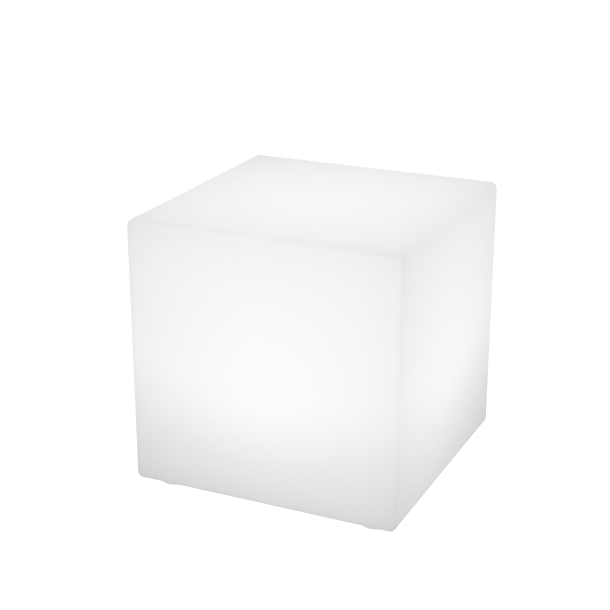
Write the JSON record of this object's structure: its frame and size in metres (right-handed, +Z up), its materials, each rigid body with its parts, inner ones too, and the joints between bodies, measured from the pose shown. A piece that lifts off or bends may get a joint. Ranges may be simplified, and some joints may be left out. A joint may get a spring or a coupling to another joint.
{
  "type": "led cube light",
  "caption": "Hollow translucent cube light and low seat on moulded feet, lit by a round battery module screwed into its underside, with a push switch and a flapped charging socket.",
  "frame": {"origin": "on the ground, under the middle of the cube (bottom centre of its box)", "axes": "+Z up; -Y out of the side face that the picture shows on the left, +X out of the side face that it shows on the right"},
  "size_m": [0.4, 0.4, 0.4],
  "materials": {
    "lit_polyethylene": "translucent white polyethylene with a fine satin grain, lit from inside",
    "opal_dome": "opal white, glossy, lit from inside",
    "white_housing": "moulded white ABS, fine texture",
    "black_nylon": "moulded black nylon",
    "cream_nylon": "natural nylon",
    "black_silicone": "soft black silicone",
    "grey_silicone": "soft grey silicone",
    "foam": "closed-cell foam",
    "stainless": "turned stainless steel",
    "spring_steel": "drawn spring wire",
    "nickel_plate": "nickel plate over brass",
    "nickel_strip": "rolled nickel strip",
    "brass": "knurled brass",
    "white_board": "white solder mask on an aluminium core",
    "green_board": "green solder mask on glass-fibre board",
    "led_body": "white moulded package",
    "led_phosphor": "silicone over the emitter",
    "black_epoxy": "moulded black epoxy",
    "ferrite": "sintered ferrite",
    "capacitor_can": "aluminium can with a printed-free dark sleeve",
    "cell_sleeve": "blue shrink sleeve over a steel can",
    "lead_insulation": "silicone insulation, one wire of each pair red and the other black"
  },
  "bodies": {
    "cube": {"cube_shell": "lit_polyethylene", "threaded_inserts": "brass", "flange_seal": "grey_silicone", "module_base": "white_housing", "flange_screws": "stainless", "led_deck": "white_housing", "deck_seal": "grey_silicone", "deck_screws": "stainless", "led_board": "white_board", "led_board_screws": "stainless", "led_packages": "led_body", "led_lenses": "led_phosphor", "remote_receiver": "black_epoxy", "diffuser_dome": "opal_dome", "dome_screws": "stainless", "lead_grommet": "black_silicone", "battery_cells": "cell_sleeve", "battery_tabs": "nickel_strip", "battery_pad": "foam", "battery_clamp": "black_nylon", "clamp_screws": "stainless", "control_board": "green_board", "control_board_screws": "stainless", "control_chips": "black_epoxy", "board_capacitors": "capacitor_can", "charging_coil": "ferrite", "board_connectors": "cream_nylon", "switch_body": "nickel_plate", "switch_rear": "black_nylon", "switch_spring": "spring_steel", "switch_terminals": "nickel_strip", "switch_nut": "nickel_plate", "switch_seal": "black_silicone", "charge_socket": "black_nylon", "socket_pin": "nickel_plate", "socket_terminals": "nickel_strip", "socket_nut": "nickel_plate", "socket_seal": "black_silicone", "flap_anchor": "black_silicone", "switch_leads": "lead_insulation", "socket_leads": "lead_insulation", "battery_leads": "lead_insulation", "led_leads": "lead_insulation"},
    "button": {"switch_button": "stainless"},
    "flap": {"socket_flap": "black_silicone"}
  },
  "joints": [
    {"name": "button_press", "type": "slide", "parent": "cube", "child": "button", "axis": [0, 0, 1], "range_m": [0, 0.0015], "stiffness_N_per_m": 600, "springref_m": -0.0008, "deforming": ["switch_spring"]},
    {"name": "flap_hinge", "type": "hinge", "parent": "cube", "child": "flap", "pos_m": [-0.028, 0, 0.0158], "axis": [0, 1, 0], "range_deg": [0, 135], "stiffness_Nm_per_rad": 0.003, "springref_deg": -5.73}
  ]
}
